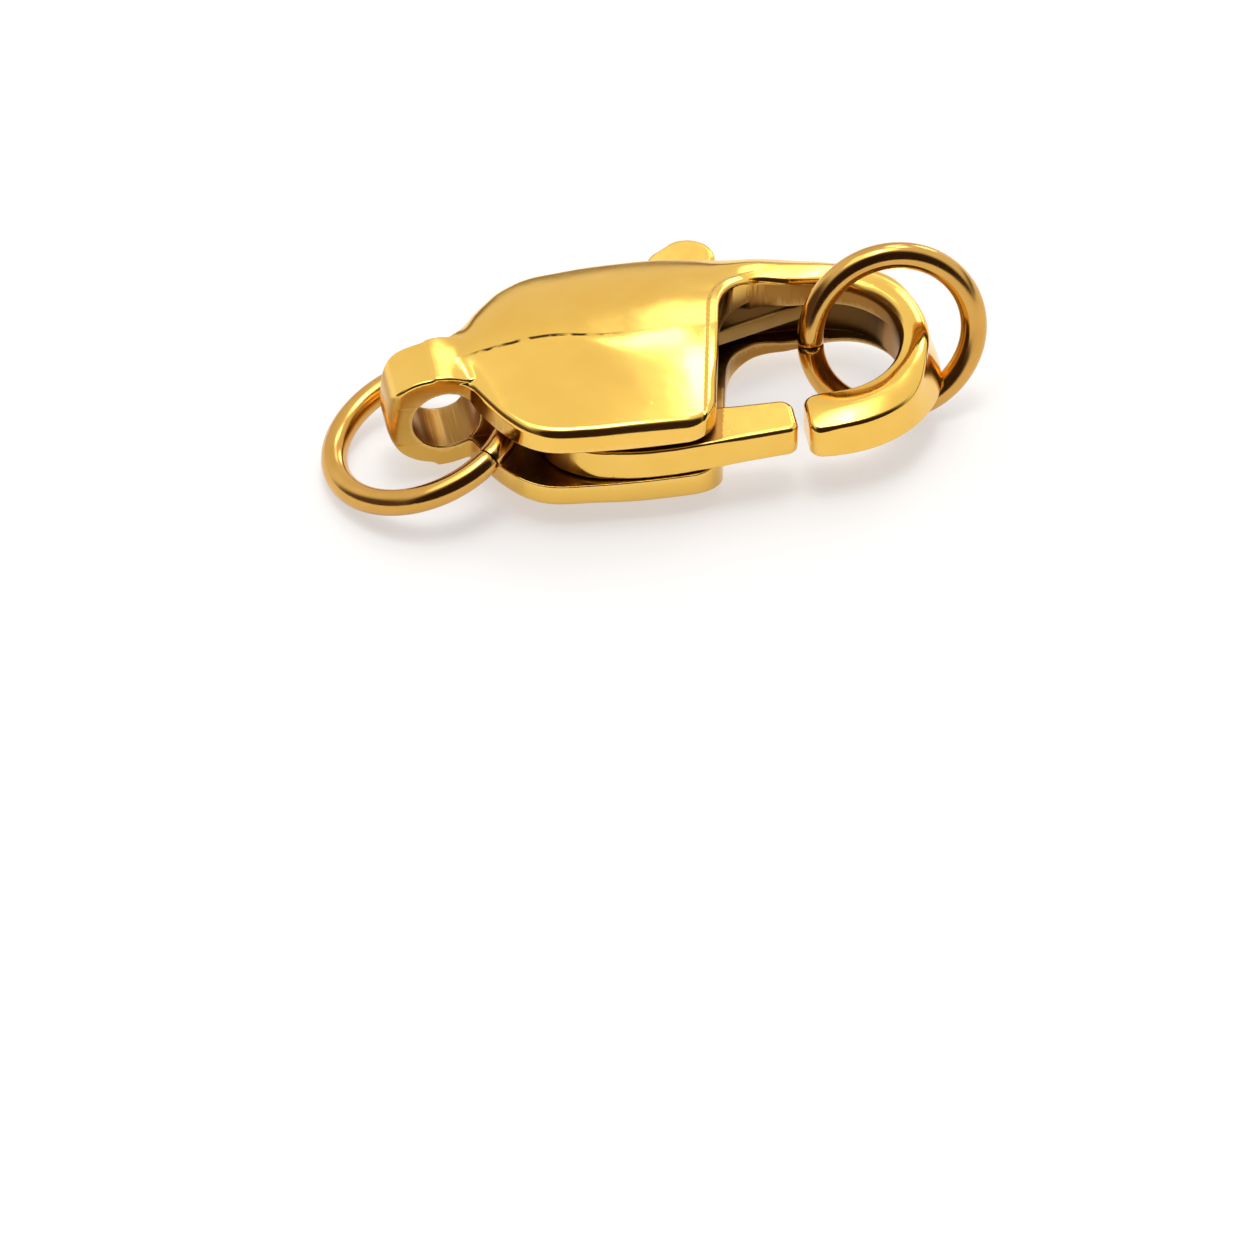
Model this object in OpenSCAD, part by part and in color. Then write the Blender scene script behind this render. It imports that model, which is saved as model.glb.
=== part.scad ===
// Lobster clasp of polished gold-plated steel, lying on its back, with a jump ring at each end.
// X runs from the eye to the hook, Y from the gate to the thumb tab, Z is up.
// The origin lies on the small rest flat under the crest, straight under the lever's pivot line.

/* [Body] */
// Distance from the pivot line to the axis of the eye
eye_reach = 3.0; // [2.7:0.05:3.6]
// Distance from the pivot line to the middle of the body's front edge
front_reach = 2.8; // [2.6:0.05:3.0]
// Full width of the body
body_w = 5.3; // [5.0:0.1:6.0]
// Thickness of the casting at its crest
crest_h = 2.9; // [2.7:0.05:3.4]
// Thickness of the casting at its edges
edge_h = 2.0; // [1.8:0.05:2.3]
// Rounding of the casting's long edges
edge_round = 0.2; // [0.1:0.02:0.3]
// Roundness of the near half's back, from 1 for a flat slope to 2 for an even dome
near_dome = 1.15; // [1.05:0.05:2]
// Roundness of the far half's back and of the underside
far_dome = 2; // [1.6:0.1:2.4]
// Lean of the front edge away from square, in degrees
front_lean = 11.2; // [0:0.2:16]
// Rounding of the body's near front corner in plan
corner_r = 0.6; // [0.3:0.05:0.8]
// Rounding where the front edge runs into the far arm
throat_r = 1.15; // [0.7:0.05:1.3]
// Distance that the throat is let into the far arm's inner wall
throat_relief = 0.22; // [0.1:0.02:0.3]
// Depth of the polished flat that the clasp rests on
rest_depth = 0.03; // [0.02:0.01:0.06]

/* [Eye] */
// Radius of the bore through the eye
eye_bore_r = 0.7; // [0.5:0.02:0.78]
// Outer radius of the eye
eye_r = 1.11; // [0.98:0.01:1.2]
// Distance that the eye's outside is set back from its bore
eye_offset = 0.13; // [0:0.01:0.2]
// Height of the eye's axis over the body's middle plane
eye_lift = 0.05; // [0:0.01:0.1]
// Rounding of the eye's outer end in plan
eye_round = 0.36; // [0.1:0.02:0.5]
// Width of the eye strap along its bore
strap_w = 1.26; // [1.0:0.02:1.6]
// Wall between the bore and the slot behind it
web = 0.12; // [0.1:0.01:0.2]

/* [Slot] */
// Height of the slot between the two plates
slot_h = 0.9; // [0.84:0.02:1.1]
// Room between the thumb arm at rest and the solid end of the slot
stop_gap = 0.1; // [0.05:0.01:0.2]
// Depth of the spring groove in the far arm
groove_depth = 0.4; // [0.3:0.02:0.5]
// Height of the spring groove
groove_h = 0.95; // [0.8:0.05:1.0]
// Distance that the groove's middle lies under the body's middle plane
groove_drop = 0.24; // [0.1:0.01:0.28]

/* [Hook] */
// Distance from the pivot line to the middle of the crook
crook_reach = 5.1; // [4.9:0.02:5.4]
// Inner radius of the crook
crook_in_r = 1.46; // [1.36:0.02:1.5]
// Width of the hook's arm
arm_w = 0.9; // [0.8:0.02:1.0]
// Thickness of the far arm at its sides
arm_h = 1.9; // [1.7:0.05:2.1]
// Length of the straight nose past the crook
nose_len = 0.81; // [0.6:0.01:0.9]
// Rounding of the hook's edges
arm_round = 0.15; // [0.08:0.01:0.2]

/* [Lever] */
// Distance of the pivot from the clasp's centre line
pivot_off = 1.2; // [1.0:0.02:1.3]
// Thickness of the lever
lever_t = 0.72; // [0.6:0.02:0.8]
// Room between the lever and the lower plate
lever_lift = 0.03; // [0.02:0.01:0.06]
// Radius of the lever's hub
hub_r = 1.2; // [1.0:0.02:1.3]
// Width of the gate
gate_w = 0.98; // [0.8:0.02:1.1]
// Gap between the closed gate and the nose
gate_gap = 0.22; // [0.16:0.01:0.4]
// Rounding of the gate's tip
gate_round = 0.2; // [0.1:0.01:0.3]
// Width of the thumb tab
tab_w = 1.12; // [1.0:0.02:1.4]
// Distance that the thumb tab stands out past the body's far edge
tab_out = 1.2; // [0.8:0.05:1.6]
// Direction of the thumb arm from the clasp's length, in degrees
tab_angle = 59; // [56:0.5:62]

/* [Pivot pin] */
// Radius of the pivot pin
pin_r = 0.4; // [0.3:0.02:0.5]
// Depth of the pin's seat in each plate
pin_seat = 0.4; // [0.2:0.02:0.5]
// Room round the pin in the lever
pin_play = 0.04; // [0.01:0.01:0.1]
// Room between pieces that are pressed or laid together
seat_gap = 0.02; // [0.01:0.01:0.04]

/* [Return spring] */
// Length of the leaf's fixed leg
fixed_len = 2.75; // [2.6:0.05:2.8]
// Slope of the fixed leg towards the far arm, in degrees
leaf_rise = 17; // [16:0.5:18]
// Fold from the fixed leg to the free leg, in degrees
leaf_fold = 100; // [98:1:102]
// Distance of the fixed leg's tip before the crook
tip_back = 0.28; // [0.2:0.02:0.4]
// Distance of the fixed leg's tip inside the groove
tip_in = 0.16; // [0.1:0.02:0.2]
// Thickness of the spring leaf
leaf_t = 0.12; // [0.08:0.01:0.2]
// Height of the spring leaf
leaf_h = 0.5; // [0.4:0.02:0.6]
// Inner radius of the bend between the leaf's two legs
bend_r = 0.16; // [0.1:0.01:0.25]

/* [Jump rings] */
// Diameter of the jump rings' wire
wire_d = 0.55; // [0.4:0.01:0.56]
// Width of the cut between a jump ring's ends
cut_gap = 0.05; // [0.02:0.01:0.15]
// Room between a jump ring and what it touches
ring_play = 0.02; // [0.01:0.01:0.04]
// Outer diameter of the tail ring
tail_ring_d = 4.44; // [4.3:0.02:4.7]
// Slope of the tail ring from the bench up to the slot, in degrees
tail_rise = 19.9; // [18:0.1:21]
// Roll of the tail ring about the clasp's length, in degrees
tail_roll = -1.7; // [-4:0.1:4]
// Distance of the tail ring's middle from the centre line, towards the gate
tail_shift = 0.33; // [0.1:0.01:0.36]
// Place of the cut round the tail ring, in degrees
tail_cut = -52; // [-60:1:-40]
// Outer diameter of the hook ring
hook_ring_d = 4.0; // [3.8:0.05:4.3]
// Lean of the hook ring from flat, in degrees
hook_lean = 73.4; // [70:0.2:76]
// Turn of the hook ring in plan, in degrees
hook_turn = 2; // [0:0.5:5]
// Distance of the hook ring's middle past the middle of the crook
hook_ring_reach = 1.35; // [1.2:0.01:1.5]
// Distance of the hook ring's middle from the centre line, towards the far arm
hook_ring_shift = 0.05; // [0:0.01:0.1]
// Place of the cut round the hook ring, in degrees
hook_cut = 180; // [170:1:190]

/* [Hidden] */
$fn = 96;
// Reach of the cuts that run right through.
big = 4 * body_w;

mid_z = crest_h / 2;
half_w = body_w / 2;
eye_x = -eye_reach;
body_len = eye_reach + front_reach;
slot_start = eye_x + eye_bore_r + web;
crook_r = crook_in_r + arm_w / 2;
nose_tip_x = crook_reach - nose_len;
lever_z = mid_z - slot_h / 2 + lever_lift;
tab_reach = (half_w + tab_out + pivot_off - tab_w / 2) / sin(tab_angle);
tab_end = [tab_reach * cos(tab_angle), tab_reach * sin(tab_angle) - pivot_off];

// Points of an arc about a centre, from one angle to another.
function arc(c, r, a0, a1, n) =
    [for (i = [0:n]) c + r * [cos(a0 + (a1 - a0) * i / n), sin(a0 + (a1 - a0) * i / n)]];

// Faces of a solid lofted through rings of equal point count, with flat ends.
function loft_faces(rings, count) = concat(
    [[for (i = [0:count - 1]) i]],
    [for (r = [0:rings - 2], i = [0:count - 1]) let (a = r * count, b = a + count, j = (i + 1) % count)
        each [[a + i, b + j, a + j], [a + i, b + i, b + j]]],
    [[for (i = [count - 1:-1:0]) (rings - 1) * count + i]]);

module loft(sections) {
    polyhedron(
        points = [for (s = sections) each s],
        faces = loft_faces(len(sections), len(sections[0])),
        convexity = 6);
}

// Sections of the body across its length. Along is a share of the length from the eye to the
// front edge. Near and far say how far each side has flared from the strap's edge to the body's.
// Edge is a share of the edge's thickness, crest one of the rise from the edge to the crest.
along = 0;
near = 1;
far = 2;
edge = 3;
crest = 4;
body_rows = [
    [-0.035, 0.00, 0.00, 1.11, 0.06],
    [0.035, 0.00, 0.02, 1.12, 0.10],
    [0.080, 0.02, 0.08, 1.04, 0.36],
    [0.110, 0.20, 0.22, 1.00, 0.52],
    [0.164, 0.51, 0.49, 1.00, 0.64],
    [0.223, 0.74, 0.67, 1.00, 0.76],
    [0.260, 0.83, 0.765, 1.00, 0.82],
    [0.303, 0.90, 0.84, 1.00, 0.87],
    [0.360, 0.945, 0.92, 1.00, 0.93],
    [0.426, 0.965, 0.97, 1.00, 0.97],
    [0.557, 0.99, 1.015, 1.00, 1.00],
    [0.678, 1.00, 1.02, 1.00, 1.00],
    [0.842, 0.99, 0.99, 1.00, 1.00],
    [0.974, 0.97, 0.93, 0.98, 1.00],
    [1.060, 0.95, 0.87, 0.93, 0.95],
    [1.150, 0.93, 0.83, 0.85, 0.85],
    [1.250, 0.93, 0.82, 0.75, 0.60],
];
// Shares of the way from the crest line to the start of the edge's rounding.
crown_steps = [1, 0.72, 0.45, 0.2];

function side(row, col) = strap_w / 2 + (half_w - strap_w / 2) * row[col];
// One quarter of a body section, from the edge in to the crest, as [across, up].
function crown(edge_y, h, rise, dome) = concat(
    [for (a = [0, 30, 60]) [edge_y - edge_round * (1 - cos(a)), h - edge_round * (1 - sin(a))]],
    [for (s = crown_steps) [s * (edge_y - edge_round), h + rise * (1 - pow(s, dome))]]);
function reversed(points) = [for (i = [len(points) - 1:-1:0]) points[i]];
function body_section(row) = let (
    x = eye_x + row[along] * body_len,
    h = edge_h / 2 * row[edge],
    rise = (crest_h - edge_h) / 2 * row[crest],
    under = rise + rest_depth * row[crest],
    far_top = crown(side(row, far), h, rise, far_dome),
    near_top = crown(side(row, near), h, rise, near_dome),
    near_under = crown(side(row, near), h, under, far_dome),
    far_under = crown(side(row, far), h, under, far_dome))
    concat(
        [for (p = far_top) [x, p[0], mid_z + p[1]]],
        [[x, 0, mid_z + h + rise]],
        [for (p = reversed(near_top)) [x, -p[0], mid_z + p[1]]],
        [for (p = near_under) [x, -p[0], mid_z - p[1]]],
        [[x, 0, mid_z - h - under]],
        [for (p = reversed(far_under)) [x, p[0], mid_z - p[1]]]);

// Sections of the hook from its root in the body to the nose. Turn is the angle about the
// crook's middle, lead the straight distance back from it, drift the distance out from the
// arm's middle line and width the arm's own, all but the turn as shares of the arm's width.
// The heights above and below the middle plane are shares of the far arm's half thickness:
// top_in and top_out at the arm's two sides, roof at its ridge, low_in and low_out beneath.
turn = 0;
lead = 1;
drift = 2;
width = 3;
top_in = 4;
top_out = 5;
roof = 6;
low_in = 7;
low_out = 8;
nose = nose_len / arm_w;
hook_rows = [
    [90, 2.46, 0.12, 0.60, 0.98, 0.82, 1.12, 1.16, 0.86],
    [90, 1.40, 0.08, 0.80, 0.97, 0.80, 1.12, 1.16, 0.90],
    [90, 0.70, 0.02, 0.94, 0.92, 0.68, 1.04, 1.10, 0.86],
    [90, 0.00, 0.00, 1.00, 0.86, 0.58, 0.97, 0.98, 0.80],
    [72, 0.00, 0.00, 1.00, 0.81, 0.56, 0.93, 0.88, 0.76],
    [54, 0.00, 0.00, 1.00, 0.79, 0.56, 0.92, 0.78, 0.72],
    [36, 0.00, 0.00, 1.00, 0.78, 0.56, 0.92, 0.70, 0.68],
    [18, 0.00, 0.00, 0.98, 0.72, 0.54, 0.88, 0.62, 0.66],
    [0, 0.00, 0.00, 0.97, 0.62, 0.52, 0.82, 0.58, 0.64],
    [-18, 0.00, 0.00, 0.98, 0.54, 0.50, 0.75, 0.55, 0.62],
    [-36, 0.00, 0.00, 1.00, 0.48, 0.42, 0.66, 0.53, 0.58],
    [-54, 0.00, 0.01, 1.03, 0.46, 0.29, 0.54, 0.52, 0.56],
    [-72, 0.00, 0.03, 1.07, 0.47, 0.25, 0.48, 0.52, 0.56],
    [-90, 0.00, 0.06, 1.12, 0.47, 0.31, 0.46, 0.52, 0.56],
    [-90, nose * 0.6, 0.08, 1.20, 0.45, 0.36, 0.43, 0.50, 0.53],
    [-90, nose, 0.09, 1.26, 0.42, 0.37, 0.40, 0.48, 0.50],
];
// A hook section's corner: the end of the side, the middle of the rounding, the start of the top.
function corner(w, h) = let (r = arm_round, k = 1 - sqrt(0.5)) [[w, h - r], [w - k * r, h - k * r], [w - r, h]];
// The point between the side and the ridge, as shares of the way out and of the way up.
shoulder = [0.35, 0.75];
function slope(w, h, peak) = [shoulder[0] * w, h + shoulder[1] * (peak - h)];
function mirrored(points) = [for (p = reversed(points)) [-p[0], p[1]]];
function turned(points) = [for (p = reversed(points)) [p[0], -p[1]]];
function hook_section(row) = let (
    w = row[width] * arm_w / 2,
    h = arm_h / 2,
    upper = concat(
        corner(w, row[top_out] * h), [slope(w, row[top_out] * h, row[roof] * h)],
        [[0, row[roof] * h]],
        mirrored(concat(corner(w, row[top_in] * h), [slope(w, row[top_in] * h, row[roof] * h)]))),
    lower = concat(corner(w, row[low_out] * h), mirrored(corner(w, row[low_in] * h))),
    out = [cos(row[turn]), sin(row[turn])],
    c = [crook_reach - row[lead] * arm_w, 0] + (crook_r + row[drift] * arm_w) * out)
    [for (p = concat(upper, turned(lower))) [c[0] + p[0] * out[0], c[1] + p[0] * out[1], mid_z + p[1]]];

// Plan of what is cut away in front of the body: the front edge, the throat and its far wall.
front_low = [front_reach - big * tan(front_lean), -big];
throat_c = [
    front_reach + (crook_in_r - throat_r) * tan(front_lean) + throat_r / cos(front_lean),
    crook_in_r + throat_relief - throat_r];
crook_start = [crook_reach, crook_in_r];
throat_end = atan2(crook_start[1] - throat_c[1], crook_start[0] - throat_c[0])
    + acos(throat_r / norm(crook_start - throat_c));
module mouth() {
    polygon(concat(
        [front_low],
        arc(throat_c, throat_r, 180 - front_lean, throat_end, 12),
        [crook_start, [crook_reach, -big]]));
}

// Plan of the sharp stock outside the body's rounded near front corner.
module corner_stock() {
    edge_y = side(body_rows[12], near);
    c = [front_reach - (edge_y - corner_r) * tan(front_lean) - corner_r / cos(front_lean), corner_r - edge_y];
    difference() {
        translate(c) rotate(-front_lean) translate([0, -3 * corner_r]) square([3 * corner_r, 3 * corner_r]);
        translate(c) circle(corner_r);
    }
}

// Plan of the slot between the plates, with its solid end right of the thumb arm.
arm_dir = [cos(tab_angle), sin(tab_angle)];
arm_side = [sin(tab_angle), -cos(tab_angle)];
stop_foot = [0, -pivot_off] + arm_side * (tab_w / 2 + stop_gap);
function on_stop(y) = stop_foot + arm_dir * (y - stop_foot[1]) / sin(tab_angle);
module slot_plan() {
    polygon([
        [eye_x, -big], [nose_tip_x - gate_gap, -big], [nose_tip_x - gate_gap, 0],
        [throat_c[0], crook_in_r], on_stop(crook_in_r + groove_depth), on_stop(big), [eye_x, big],
        [eye_x, strap_w / 2], [slot_start, strap_w / 2], [slot_start, -strap_w / 2], [eye_x, -strap_w / 2]]);
}

// Plan of the groove that runs on from the slot along the far arm's inner wall and fades out.
module groove_plan() {
    back = crook_in_r + groove_depth;
    straight_end = crook_reach - groove_depth / 2;
    fade_r = crook_in_r + groove_depth / 4;
    polygon([[slot_start + body_len / 2, 0], on_stop(back), [straight_end, back], [straight_end, 0]]);
    translate([straight_end, back - fade_r]) circle(fade_r);
}

module slot() {
    translate([0, 0, mid_z - slot_h / 2]) linear_extrude(slot_h) slot_plan();
    translate([0, 0, mid_z - groove_drop - groove_h / 2]) linear_extrude(groove_h) groove_plan();
}

// Eye: a round boss whose outer end is rounded in plan too.
module eye() {
    c = eye_x - eye_offset;
    intersection() {
        translate([c, strap_w / 2, mid_z + eye_lift]) rotate([90, 0, 0]) cylinder(h = strap_w, r = eye_r);
        linear_extrude(crest_h) {
            translate([c - eye_r + eye_round, -strap_w / 2]) square([2 * eye_r, strap_w]);
            translate([c - eye_r, eye_round - strap_w / 2]) square([2 * eye_r, strap_w - 2 * eye_round]);
            for (y = [-1, 1]) translate([c - eye_r + eye_round, y * (strap_w / 2 - eye_round)]) circle(eye_round);
        }
    }
}

module pin_bores() {
    deep = slot_h + 2 * (pin_seat + seat_gap);
    translate([0, -pivot_off, mid_z - deep / 2]) cylinder(h = deep, r = pin_r + seat_gap);
}

module body() {
    color("goldenrod")
    difference() {
        union() {
            difference() {
                loft([for (row = body_rows) body_section(row)]);
                translate([0, 0, -big / 2]) linear_extrude(big) { mouth(); corner_stock(); }
            }
            loft([for (row = hook_rows) hook_section(row)]);
            eye();
        }
        slot();
        translate([eye_x, big / 2, mid_z + eye_lift]) rotate([90, 0, 0]) cylinder(h = big, r = eye_bore_r);
        pin_bores();
        translate([-big, -big, -big]) cube([2 * big, 2 * big, big]);
    }
}

// Plan of the lever: hub, gate with rounded tip, and thumb arm with a round tab.
gate_tip_x = nose_tip_x - gate_gap;
gate_y = -pivot_off - hub_r;
// Reach of the root across the hub, along the thumb arm and along the gate, as shares of the hub's radius.
root_back = 0.95;
root_arm = 2;
root_gate = 1.84;
module lever_plan() {
    c = [0, -pivot_off];
    translate(c) circle(hub_r);
    translate([0, gate_y]) square([gate_tip_x - gate_round, gate_w]);
    translate([0, gate_y + gate_round]) square([gate_tip_x, gate_w - 2 * gate_round]);
    for (y = [gate_round, gate_w - gate_round]) translate([gate_tip_x - gate_round, gate_y + y]) circle(gate_round);
    translate(c) rotate(tab_angle - 90) translate([-tab_w / 2, 0]) square([tab_w, tab_reach]);
    translate(tab_end) circle(tab_w / 2);
}

// Plan of the root that stiffens the lever between its hub, thumb arm and gate.
module root_plan() {
    c = [0, -pivot_off];
    polygon([c, c - root_back * hub_r * arm_side, c + root_arm * hub_r * arm_dir,
        [root_gate * hub_r, gate_y + gate_w / 2]]);
}

module lever() {
    color("gold")
    difference() {
        translate([0, 0, lever_z]) {
            linear_extrude(lever_t) lever_plan();
            linear_extrude(lever_t) root_plan();
        }
        translate([0, -pivot_off, 0]) cylinder(h = crest_h, r = pin_r + pin_play);
    }
}

module pivot_pin() {
    length = slot_h + 2 * pin_seat;
    color("darkgoldenrod")
    translate([0, -pivot_off, mid_z - length / 2]) cylinder(h = length, r = pin_r);
}

// Leaf spring: a fixed leg that ends on the groove's wall, a round bend beside the thumb arm,
// and a free leg that bears on the gate's inner edge inside the body.
leaf_fall = leaf_rise - leaf_fold;
leaf_mid_r = bend_r + leaf_t / 2;
fixed_tip = [crook_reach - tip_back, crook_in_r + tip_in];
bend_c = fixed_tip - fixed_len * [cos(leaf_rise), sin(leaf_rise)] - leaf_mid_r * [-sin(leaf_rise), cos(leaf_rise)];
free_len = (bend_c[1] - gate_y - gate_w - 2 * seat_gap) / sin(-leaf_fall);
module leaf_plan() {
    translate(bend_c) {
        rotate(leaf_rise) translate([0, bend_r]) square([fixed_len, leaf_t]);
        rotate(leaf_fall) translate([0, -bend_r - leaf_t]) square([free_len, leaf_t]);
        difference() {
            intersection() {
                circle(bend_r + leaf_t);
                polygon(concat([[0, 0]], arc([0, 0], big, leaf_rise + 90, leaf_fall + 270, 2)));
            }
            circle(bend_r);
        }
    }
}

module return_spring() {
    color("silver")
    translate([0, 0, lever_z + (lever_t - leaf_h) / 2]) linear_extrude(leaf_h) leaf_plan();
}

// A wire ring about the local Z axis, cut through at one angle.
module jump_ring(outer_d, cut_at) {
    ring_r = (outer_d - wire_d) / 2;
    difference() {
        rotate_extrude($fn = 96) translate([ring_r, 0]) circle(wire_d / 2, $fn = 32);
        rotate(cut_at) translate([ring_r - wire_d, -cut_gap / 2, -wire_d]) cube([2 * wire_d, cut_gap, 2 * wire_d]);
    }
}

// Height of the middle of a ring that leans on the bench, from the cosine of its lean.
function leaning_z(outer_d, flat) = (outer_d - wire_d) / 2 * sqrt(1 - flat * flat) + wire_d / 2 + ring_play / 4;

// The tail ring runs through the slot round the web of the eye and slopes down to the bench.
module tail_ring() {
    inside = tail_ring_d / 2 - wire_d - ring_play;
    x = slot_start - cos(tail_rise) * sqrt(pow(inside, 2) - pow(strap_w / 2 + tail_shift, 2));
    z = leaning_z(tail_ring_d, cos(tail_rise) * cos(tail_roll));
    color("gold")
    translate([x, -tail_shift, z]) rotate([tail_roll, -tail_rise, 0]) jump_ring(tail_ring_d, tail_cut);
}

// The hook ring stands on the bench and leans, threaded on the crook.
module hook_ring() {
    color("gold")
    translate([crook_reach + hook_ring_reach, hook_ring_shift, leaning_z(hook_ring_d, cos(hook_lean))])
        rotate([hook_lean, 0, hook_turn]) jump_ring(hook_ring_d, hook_cut);
}

body();
lever();
pivot_pin();
return_spring();
tail_ring();
hook_ring();
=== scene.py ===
"""Lobster clasp of gold-plated steel with a jump ring at each end, lying on a pale table."""
import math

import bpy
import numpy as np
from mathutils import Matrix, Vector


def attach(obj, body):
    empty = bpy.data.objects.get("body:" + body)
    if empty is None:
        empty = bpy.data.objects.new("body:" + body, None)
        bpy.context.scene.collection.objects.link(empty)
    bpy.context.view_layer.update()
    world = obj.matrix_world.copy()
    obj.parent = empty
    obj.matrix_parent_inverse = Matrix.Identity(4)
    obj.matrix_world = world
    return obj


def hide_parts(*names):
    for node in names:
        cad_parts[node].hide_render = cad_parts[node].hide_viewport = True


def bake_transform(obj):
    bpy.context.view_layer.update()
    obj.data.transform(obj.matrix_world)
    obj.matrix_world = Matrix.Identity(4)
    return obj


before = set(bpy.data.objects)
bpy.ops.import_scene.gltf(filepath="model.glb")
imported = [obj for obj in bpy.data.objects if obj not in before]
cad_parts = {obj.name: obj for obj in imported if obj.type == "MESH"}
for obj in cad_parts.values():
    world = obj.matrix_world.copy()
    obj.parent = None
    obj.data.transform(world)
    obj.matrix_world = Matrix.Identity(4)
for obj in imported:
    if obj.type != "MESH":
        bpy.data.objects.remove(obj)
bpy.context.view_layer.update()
scene = bpy.context.scene
MM = 0.001

# Table, camera and light: a sheet of opal acrylic, lit softly from below, stands in a pale tent.
# The tent's far wall and roof are bright, and the dark of the room in front of it draws the brown
# bands that polished metal shows.


def linear(hex_colour):
    """An sRGB hex colour as linear red, green, blue and alpha."""
    parts = [int(hex_colour[i:i + 2], 16) / 255 for i in (1, 3, 5)]
    return [c / 12.92 if c <= 0.04045 else ((c + 0.055) / 1.055) ** 2.4 for c in parts] + [1.0]


def add_node(tree, kind, settings=None, links=None):
    """Adds a node, sets its properties and then its sockets by name, and links its inputs."""
    node = tree.nodes.new(kind)
    for name, value in (settings or {}).items():
        if isinstance(name, int) or name in node.inputs:
            node.inputs[name].default_value = value
        else:
            setattr(node, name, value)
    for name, source in (links or {}).items():
        tree.links.new(source, node.inputs[name])
    return node


def new_material(name):
    """An empty node material with its output, as (material, tree, output)."""
    material = bpy.data.materials.new(name)
    material.use_nodes = True
    material.node_tree.nodes.clear()
    output = material.node_tree.nodes.new("ShaderNodeOutputMaterial")
    return material, material.node_tree, output


CAMERA_TURN = math.radians(-10)
CAMERA_RISE = math.radians(41)
CAMERA_AIM = Vector((-0.16, -5.94, 0.0)) * MM
CAMERA_FAR = 600 * MM
CLASP_BEYOND = 3.7 * MM
FRAME_WIDTH = 25.86 * MM
SENSOR = 36.0

right = Vector((math.cos(CAMERA_TURN), math.sin(CAMERA_TURN), 0))
back = Vector((math.sin(CAMERA_TURN) * math.cos(CAMERA_RISE),
               -math.cos(CAMERA_TURN) * math.cos(CAMERA_RISE), math.sin(CAMERA_RISE)))
up = back.cross(right)
camera_data = bpy.data.cameras.new("camera")
camera_data.sensor_width = SENSOR
camera_data.lens = SENSOR * (CAMERA_FAR + CLASP_BEYOND) / FRAME_WIDTH
camera_data.clip_start = 1 * MM
camera_data.clip_end = 10.0
camera = bpy.data.objects.new("camera", camera_data)
scene.collection.objects.link(camera)
camera.matrix_world = (Matrix.Translation(CAMERA_AIM + CAMERA_FAR * back)
                       @ Matrix((right, up, back)).transposed().to_4x4())
scene.camera = camera
scene.view_settings.view_transform = "Standard"

TABLE_HALF = 600 * MM
TABLE_TOP = -0.02 * MM
table_mesh = bpy.data.meshes.new("table")
table_mesh.from_pydata([(x * TABLE_HALF, y * TABLE_HALF, TABLE_TOP)
                        for x, y in ((-1, -1), (1, -1), (1, 1), (-1, 1))], [], [(0, 1, 2, 3)])
table = bpy.data.objects.new("table", table_mesh)
scene.collection.objects.link(table)
# Opal acrylic lit from below: matt and faintly mottled, so that the shadows on it stay pale.
acrylic, tree, output = new_material("lit_opal_acrylic")
where = add_node(tree, "ShaderNodeTexCoord")
mottle = add_node(tree, "ShaderNodeTexNoise", {"Scale": 1 / (16.67 * MM), "Detail": 3.0},
                  {"Vector": where.outputs["Object"]})
tint = add_node(tree, "ShaderNodeMix",
                {"data_type": "RGBA", "A": linear("#F9F7F6"), "B": linear("#FFFEFD")},
                {"Factor": mottle.outputs["Fac"]})
dimmed = add_node(tree, "ShaderNodeMix", {"data_type": "RGBA", "Factor": 0.53, "B": linear("#000000")},
                  {"A": tint.outputs["Result"]})
sheet = add_node(tree, "ShaderNodeBsdfPrincipled", {"Roughness": 0.65, "Emission Strength": 0.54},
                 {"Base Color": dimmed.outputs["Result"], "Emission Color": tint.outputs["Result"]})
tree.links.new(sheet.outputs["BSDF"], output.inputs["Surface"])
table_mesh.materials.append(acrylic)

LAMP_AT = Vector((-60, 20, 320)) * MM
LAMP_WIDE = 200 * MM
LAMP_WATTS = 0.16
lamp_data = bpy.data.lights.new("top_panel", "AREA")
lamp_data.shape = "SQUARE"
lamp_data.size = LAMP_WIDE
lamp_data.energy = LAMP_WATTS
lamp = bpy.data.objects.new("top_panel", lamp_data)
scene.collection.objects.link(lamp)
lamp.matrix_world = Matrix.Translation(LAMP_AT) @ LAMP_AT.to_track_quat("Z", "Y").to_matrix().to_4x4()

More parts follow.
